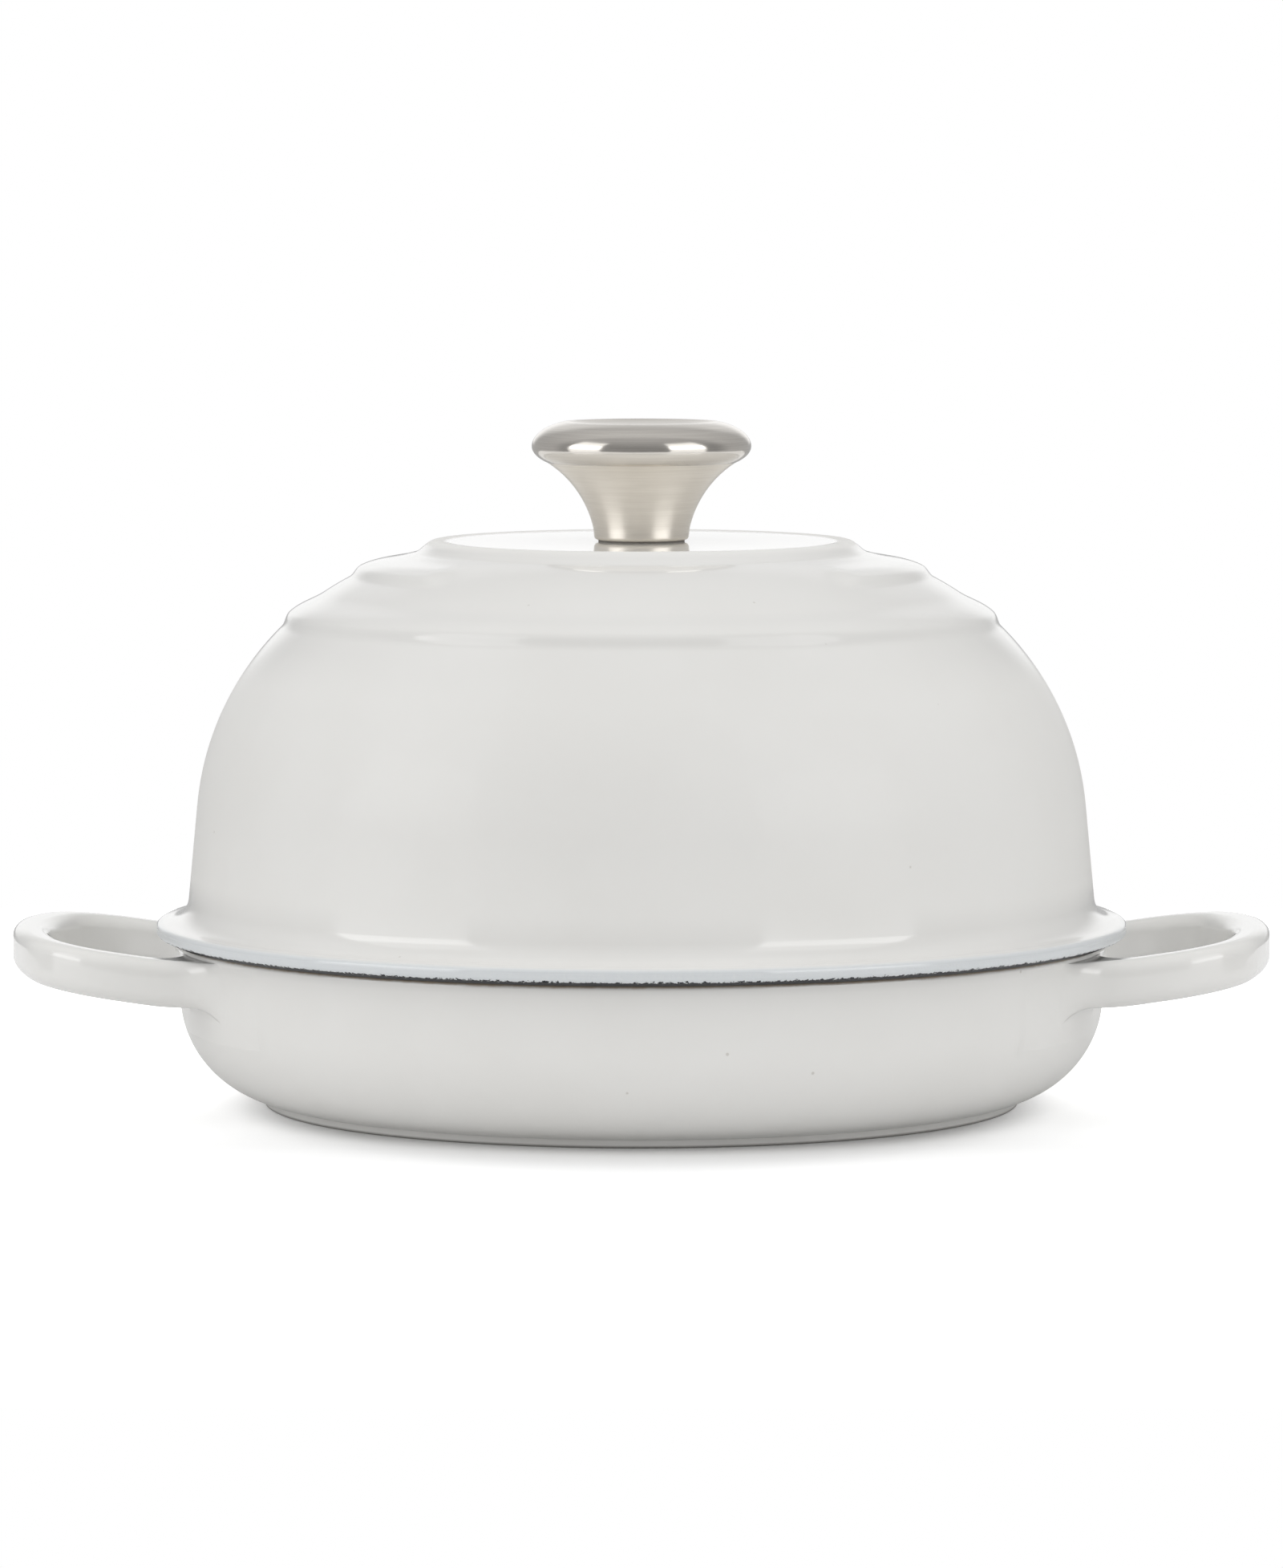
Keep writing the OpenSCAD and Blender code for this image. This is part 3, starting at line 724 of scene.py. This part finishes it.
def band_section():
    """Points round the handle's band: depth, height, facing, lean from 1 outside to -1 inside."""
    inner, outer, half_h = BAND_T - BAND_ROUND, BAND_ROUND, BAND_H / 2 - BAND_ROUND
    corner_steps, level_steps, side_steps = 5, 12, 4

    def corner(centre, start, end, lean):
        angles = [math.radians(mix(start, end, i / corner_steps)) for i in range(corner_steps)]
        return [polar(centre, BAND_ROUND, a) + (a, lean) for a in angles]

    def level(side):
        return [(mix(outer, inner, i / level_steps), side * BAND_H / 2, side * math.pi / 2,
                 mix(1, -1, i / level_steps)) for i in range(level_steps)]

    def upright(depth, facing, lean):
        return [(depth, mix(half_h, -half_h, i / side_steps), facing, lean)
                for i in range(side_steps)]

    top = corner((outer, half_h), 135, 90, 1) + level(1) + corner((inner, half_h), 90, 45, -1)
    inside = corner((inner, half_h), 45, 0, -1) + upright(BAND_T, 0, -1)
    inside += corner((inner, -half_h), 0, -45, -1)
    under = corner((inner, -half_h), -45, -90, -1)
    under += [(BAND_T - d, h, f, -k) for d, h, f, k in level(-1)]
    under += corner((outer, -half_h), -90, -135, 1)
    outside = corner((outer, -half_h), -135, -180, 1)
    outside += [(d, -h, f, k) for d, h, f, k in upright(0, math.pi, 1)]
    outside += corner((outer, half_h), 180, 135, 1)
    return top + inside + under + outside


def band_height(rise, x):
    """The band is level at the pan's wall and rises outside its rim."""
    out = max(x - PAN_R + RISE_BLEND / 2, 0)
    along = out * out / 2 / RISE_BLEND if out < RISE_BLEND else out - RISE_BLEND / 2
    return BAND_Z + rise + along * math.tan(HANDLE_RISE)


def fillet_drop(radius, distance):
    if distance >= radius:
        return 0
    return radius - math.sqrt(radius ** 2 - (radius - max(0, distance)) ** 2)


def leg_path(point, t):
    """One point of the section between the straight leg, t = 0, and the pan's wall, t = 1."""
    depth, rise, facing, lean = point
    y = HANDLE_HALF_W - depth
    upright = math.sin(facing)
    below = LEG_FILLET_OVER if upright > 0 else LEG_FILLET_UNDER
    wall_r = pan_outer_r(BAND_Z + rise + upright * below)
    azimuth = math.asin(y / wall_r)

    def branch(side):
        radius = LEG_FILLET_OUT if side > 0 else LEG_FILLET_IN
        turn_angle = math.acos(side * math.sin(azimuth))
        reach = radius * math.tan(turn_angle / 2)
        return np.array([wall_r * math.cos(azimuth) + reach, azimuth + side * reach / wall_r,
                         radius * 4 / 3 * math.tan(turn_angle / 4)])

    start_x, end, pull = mix(branch(-1), branch(1), (1 + lean) / 2)
    foot = np.array(polar((0, 0), wall_r, end))
    foot_pull = np.array(polar(foot, pull, end - lean * math.pi / 2))
    leg = np.array((start_x, y))
    leg_pull = np.array((start_x - pull, y))
    s = 1 - t
    xy = s ** 3 * leg + 3 * s ** 2 * t * leg_pull + 3 * s * t ** 2 * foot_pull + t ** 3 * foot
    drop = upright * fillet_drop(below, math.hypot(*xy) - wall_r)
    return (xy[0], xy[1], band_height(rise, xy[0]) + drop)


def handle_rings(section):
    """Rings of points along half a handle, from the pan's wall to the middle of the tip."""
    leg_steps, straight_steps, corner_steps, tip_steps = 18, 3, 16, 10
    rings = [[leg_path(point, math.sin(math.pi / 2 * i / leg_steps)) for point in section]
             for i in range(leg_steps, -1, -1)]
    tip_x = HANDLE_REACH - TIP_R
    corner_y = HANDLE_HALF_W - LOOP_ROUND
    corner = (tip_x + math.sqrt((TIP_R - LOOP_ROUND) ** 2 - corner_y ** 2), corner_y)
    tip_angle = math.asin(corner_y / (TIP_R - LOOP_ROUND))

    def ring(origin, radius, angle):
        flat = [polar(origin, radius - depth, angle) for depth, *_ in section]
        return [(*p, band_height(rise, p[0])) for p, (_, rise, *_) in zip(flat, section)]

    def between(t):
        return [(mix(p[0], q[0], t), mix(p[1], q[1], t), band_height(rise, mix(p[0], q[0], t)))
                for p, q, (_, rise, *_) in zip(leg_end, corner_start, section)]

    leg_end = rings[-1]
    corner_start = ring(corner, LOOP_ROUND, math.pi / 2)
    rings += [between(i / (straight_steps + 1)) for i in range(1, straight_steps + 1)]
    rings += [ring(corner, LOOP_ROUND, mix(math.pi / 2, tip_angle, i / corner_steps))
              for i in range(corner_steps + 1)]
    rings += [ring((tip_x, 0), TIP_R, mix(tip_angle, 0, i / tip_steps))
              for i in range(1, tip_steps + 1)]
    return rings


def pan_outline():
    """The pan's section in three parts: under the handles, the rectangle's rows, and the rest."""
    foot_angle = -math.acos((FOOT_R - PAN_CENTRE[0]) / PAN_ROUND)
    side_angle = -math.asin((PAN_CENTRE[1] - RECT_BOTTOM) / PAN_ROUND)
    inner_foot = FOOT_R - FOOT_W
    down, outwards = 1.5 * math.pi, 2 * math.pi
    under = fine([(0, FOOT_H), (inner_foot - FOOT_LEAN, FOOT_H)], step=6)
    under += arc((inner_foot + FOOT_ROUND, FOOT_ROUND), FOOT_ROUND, math.pi, down, 4)
    under += arc((FOOT_R - FOOT_ROUND, FOOT_ROUND), FOOT_ROUND, down, outwards, 4)
    under += arc(PAN_CENTRE, PAN_ROUND, foot_angle, side_angle, 22)[:-1]
    side = [(pan_outer_r(z), z) for z in np.linspace(RECT_BOTTOM, RIM_START, RECT_ROWS + 1)]
    rim = arc((pan_wall_r(RIM_START) - RIM_ROUND, RIM_START), RIM_ROUND, 0, math.pi / 2, 8)[1:]
    inner_rim = (pan_inner_r(SEAT_H) + RIM_INNER_ROUND, SEAT_H - RIM_INNER_ROUND)
    rim += arc(inner_rim, RIM_INNER_ROUND, math.pi / 2, math.pi, 4)
    return under, side, rim + fine(pan_hollow(0, SEAT_H - 2 * LINING_DROP), step=5)


def pan_quarter():
    """A quarter of the pan with half a handle, from the foot ring round the rim to the floor."""
    under, side, rest = pan_outline()
    verts, faces, rows = turn(under + side + rest, COLUMNS, sweep=math.pi / 2)
    low = len(under)
    high = low + RECT_ROWS
    inside = {rows[row][i] for row in range(low + 1, high)
              for i in range(RECT_FIRST + 1, RECT_LAST)}
    faces = [f for f in faces if not inside & set(f)]
    ring = [rows[high][i] for i in range(RECT_LAST, RECT_FIRST, -1)]
    ring += [rows[row][RECT_FIRST] for row in range(high, low, -1)]
    ring += [rows[low][i] for i in range(RECT_FIRST, RECT_LAST)]
    ring += [rows[row][RECT_LAST] for row in range(low, high)]
    foot, *handle = handle_rings(band_section())

    def on_wall(target, t):
        """Points of the wall at the share t of the way from the rectangle's border to a ring."""
        points = []
        for index, (end_x, end_y, end_z) in zip(border, target):
            x, y, z = verts[index]
            azimuth = mix(math.atan2(y, x), math.atan2(end_y, end_x), t)
            height = mix(z, end_z, t)
            points.append((*polar((0, 0), pan_outer_r(height), azimuth), height))
        return points

    # Known fault: the layers after the first aim at the first, not at the foot, so the wall
    # folds over itself in the root of the handle.
    border = ring
    first = on_wall(foot, 1 / ROOT_LAYERS)
    layers = [first] + [on_wall(first, i / ROOT_LAYERS) for i in range(2, ROOT_LAYERS + 1)]
    for points in layers + handle:
        new = list(range(len(verts), len(verts) + len(points)))
        verts += points
        count = len(new)
        faces += [(ring[j], ring[(j + 1) % count], new[(j + 1) % count], new[j])
                  for j in range(count)]
        ring = new
    return verts, faces


def make_pan():
    verts, faces = pan_quarter()
    pan = make_mesh("cast_pan", verts, faces, mirrored="YX")
    dress(pan, WHITE_PAN, "white_enamel", "base", "base_pan")


def make_pan_lining():
    top = SEAT_H - LINING_DROP
    floor_top = FLOOR_Z + LINING_T
    outer = pan_hollow(0, top)[:-1]
    inner = pan_hollow(LINING_T, top)[:-1]
    floor = [(r, floor_top) for r in np.arange(PAN_INNER_CENTRE[0], 0, -0.5)]
    profile = [(0, FLOOR_Z), *fine(outer[::-1], step=3), *fine(inner, step=1.5), *floor[1:],
               (0, floor_top)]
    lining = turned("pan_lining_black", profile, 180)
    grow(lining, baking_ridge_tree(), {
        "Pitch": RIDGE_PITCH * MM, "Count": float(RIDGE_COUNT), "Width": RIDGE_W * MM,
        "Height": RIDGE_H * MM, "Floor Top": floor_top * MM, "Finish": BLACK})
    dress(lining, BLACK, "black_enamel", "base", "pan_lining")


# Dome with its rings

def make_dome():
    corner_z = LIP_Z + LIP_ROUND
    outer_corner = (LIP_R - LIP_ROUND, corner_z)
    inner_corner = (LIP_R - LIP_W + LIP_ROUND, corner_z)
    lip = [(LIP_R, SEAT_H)] + arc(outer_corner, LIP_ROUND, 0, -math.pi / 2, 4)
    lip += arc(inner_corner, LIP_ROUND, -math.pi / 2, -math.pi, 4)
    profile = fine(dome_outside() + lip + dome_hollow(0, corner_z)[1:], step=2.5)
    dome = turned("cast_dome", profile, 256, closed=True)
    tree = step_ring_tree()
    shared = {
        "Height": RING_H * MM, "Rise": RING_RISE * MM, "Fade": RING_FADE * MM,
        "Shoulder Radius": SHOULDER_R * MM, "Shoulder Centre": SHOULDER[0] * MM,
        "Shoulder Height": SHOULDER[1] * MM, "Finish": WHITE_DOME}
    for foot_r, fall, gap in ((OUTER_RING_R, OUTER_RING_FALL, NO_GAP),
                              (MIDDLE_RING_R, MIDDLE_RING_FALL, RING_GAP)):
        grow(dome, tree, shared | {"Foot Radius": foot_r * MM, "Fall": fall * MM, "Gap": gap})
    dress(dome, WHITE_DOME, "white_enamel", "lid", "dome_lid")


def make_dome_lining():
    profile = dome_hollow(0, LIP_Z) + dome_hollow(LINING_T, LIP_Z)[::-1]
    lining = turned("dome_lining_black", fine(profile, step=2.5), 180, closed=True)
    dress(lining, BLACK, "black_enamel", "lid", "dome_lining")


# Knob

ROLL = (KNOB_R - ROLL_W, KNOB_TOP - ROLL_H * math.cos(ROLL_LIP))
SEAM_Z = ROLL[1] - ROLL_UNDER * math.sin(ROLL_SEAM)
DISH_R = ROLL[0] + ROLL_W * math.sin(ROLL_LIP)


def roll_side(skin, start, count):
    """Section of the rolled rim from an angle up to its crest, drawn in by a skin."""
    angles = [mix(start, math.pi / 2 - ROLL_LIP, i / count) for i in range(count + 1)]
    return [(ROLL[0] + (ROLL_W - skin) * math.cos(a),
             ROLL[1] + ((ROLL_UNDER if a < 0 else ROLL_H) - skin) * math.sin(a)) for a in angles]


def make_knob_cap():
    dish = [(r, KNOB_TOP - DISH_DEPTH * (1 - (r / DISH_R) ** 4))
            for r in np.linspace(DISH_R, 0, 40)[1:]]
    outside = roll_side(0, -ROLL_SEAM, 60) + dish
    inner_seam = math.asin(ROLL_UNDER * math.sin(ROLL_SEAM) / (ROLL_UNDER - KNOB_WALL))
    under = [(r, z - KNOB_WALL) for r, z in dish[::-1]]
    under += roll_side(KNOB_WALL, -inner_seam, 30)[::-1]
    cap = turned("steel_knob_cap", outside + under + [outside[0]], 192)
    dress(cap, BRUSHED_CAP, "brushed_steel", "lid", "knob_cap")


def make_knob_neck():
    waist_z = KNOB_Z + WAIST_H
    floor_z = KNOB_Z + NECK_FLOOR
    flare = (NECK_R + FLARE_R * math.cos(NECK_LEAN), waist_z - FLARE_R * math.sin(NECK_LEAN))
    waist_angle = math.pi - NECK_LEAN
    inner_waist_angle = math.pi - NECK_LEAN * 1.5
    seam_angle = math.pi - math.asin((SEAM_Z - flare[1]) / FLARE_R)
    inner_seam_angle = math.pi - math.asin((SEAM_Z - flare[1]) / (FLARE_R + KNOB_WALL))
    foot_r = NECK_R - NECK_FOOT_IN - NECK_FOOT_ROUND
    corner = (foot_r, KNOB_Z + NECK_FOOT_ROUND)
    outside = [(HOLE_R, KNOB_Z)] + arc(corner, NECK_FOOT_ROUND, -math.pi / 2, 0, 10)
    outside += arc(flare, FLARE_R, waist_angle, seam_angle, 40)
    inside = [(HOLE_R, floor_z), (foot_r, floor_z)]
    inside += arc(flare, FLARE_R + KNOB_WALL, inner_waist_angle, inner_seam_angle, 20)
    neck = turned("steel_knob_neck", fine(outside + inside[::-1], step=1.5), 160, closed=True)
    dress(neck, BRUSHED_NECK, "brushed_steel", "lid", "knob_neck")


make_pan()
make_pan_lining()
make_dome()
make_dome_lining()
make_knob_cap()
make_knob_neck()

# The small fixings keep their own solids and get their finishes
for node, material in {"knob_insert": FIXING, "flat_washer": FIXING, "lock_washer": FIXING,
                       "knob_screw": FIXING, "knob_gasket": RUBBER}.items():
    node_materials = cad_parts[node].data.materials
    node_materials.clear()
    node_materials.append(material)


# Studio

def make_floor():
    """A white table: a shadow near the object only, pure white further out, clear from below."""
    half_m = 0.5
    mesh = bpy.data.meshes.new("floor")
    corners = ((-1, -1), (1, -1), (1, 1), (-1, 1))
    mesh.from_pydata([(x * half_m, y * half_m, 0) for x, y in corners], [], [(0, 1, 2, 3)])
    floor = bpy.data.objects.new("floor", mesh)
    bpy.context.scene.collection.objects.link(floor)
    material, nodes, place, r, z = new_finish("white_floor")
    x, y, _ = nodes.xyz(place)
    narrowed = (x * x * SHADOW_NARROWING + y * y).math("SQRT") / MM
    near_glow = (0.55 + y * 4.2).clamp(*NEAR_GLOW)
    glow = narrowed.ramp(*SHADOW_EDGE) * near_glow + r.ramp(*FAR_EDGE) * FAR_GLOW
    seen = nodes.out(nodes.add("ShaderNodeLightPath"), "Is Camera Ray") * glow
    paint = nodes.add("ShaderNodeBsdfDiffuse", None, {"Color": TABLE_WHITE})
    light = nodes.add("ShaderNodeEmission", None, {"Color": nodes.vector(seen, seen, seen)})
    lit = nodes.add("ShaderNodeAddShader", None, {0: paint, 1: light})
    from_below = nodes.out(nodes.add("ShaderNodeNewGeometry"), "Backfacing")
    under_pan = r.math("LESS_THAN", FOOT_R - FOOT_W / 2)
    clear = nodes.add("ShaderNodeBsdfTransparent")
    whole = nodes.add("ShaderNodeMixShader", None, {
        0: from_below.math("MAXIMUM", under_pan), 1: lit, 2: clear})
    nodes.add("ShaderNodeOutputMaterial", None, {"Surface": whole})
    mesh.materials.append(material)


def make_light():
    """A white studio as the world: soft light from both sides, two softboxes that gloss mirrors."""
    world = bpy.data.worlds.new("studio")
    bpy.context.scene.world = world
    world.use_nodes = True
    nodes = Nodes(world.node_tree)
    ray = nodes.add("ShaderNodeLightPath")
    x, y, z = nodes.xyz(nodes.out(nodes.add("ShaderNodeTexCoord"), "Generated"))
    right = x.math("ARCTAN2", y * -1) * math.degrees(1)
    up = z.math("ARCSINE") * math.degrees(1)
    around = right.math("ABSOLUTE")
    soft = [right.window(start, full, full, end)
            for start, full, end in (SOFT_LEFT, SOFT_RIGHT, SOFT_FRONT)]

    def walls(brightness):
        room, *added = brightness
        return sum((light * share for light, share in zip(soft, added)), room)

    room = walls(LOW_LIGHT)
    room += (walls(MIDDLE_LIGHT) - room) * up.ramp(*TO_MIDDLE)
    room += (walls(HIGH_LIGHT) - room) * up.ramp(*TO_HIGH)
    room += (CEILING_LIGHT - room) * up.ramp(*TO_CEILING)
    sides = right.window(*LEFT_BOX) + right.window(*RIGHT_BOX)
    boxes = sides * (up.ramp(*BOX_TOP) * BOX_TOP_LIGHT + up.window(*BOX_FOOT) * BOX_FOOT_LIGHT)
    back_wall = around.ramp(150, 168) * up.ramp(0, 3) * (up.ramp(22, 10) + up.ramp(42, 28))
    dim = ROOM_GLOSS + up.ramp(15, 80) * UPPER_GLOSS + around.ramp(85, 110) * BACK_GLOSS
    mirrored_room = dim + boxes + back_wall * BACK_WALL_GLOSS
    through = nodes.out(ray, "Is Transmission Ray")
    mirrored = nodes.out(ray, "Is Glossy Ray").math("MAXIMUM", through)
    camera = nodes.out(ray, "Is Camera Ray")
    strength = camera + (1 - camera) * (mirrored * mirrored_room + (1 - mirrored) * room)
    light = nodes.add("ShaderNodeBackground", None,
                      {"Color": nodes.vector(strength, strength, strength)})
    nodes.add("ShaderNodeOutputWorld", None, {"Surface": light})


def make_camera():
    camera = bpy.data.cameras.new("camera")
    camera.sensor_width = CAMERA_SENSOR
    camera.lens = CAMERA_LENS
    camera.clip_start = 0.05
    camera.clip_end = 30
    obj = bpy.data.objects.new("camera", camera)
    obj.location = CAMERA_PLACE_M
    obj.rotation_euler = (math.pi / 2 - CAMERA_TILT, 0, 0)
    bpy.context.scene.collection.objects.link(obj)
    bpy.context.scene.camera = obj


make_floor()
make_light()
make_camera()
bpy.context.scene.view_settings.view_transform = "Standard"
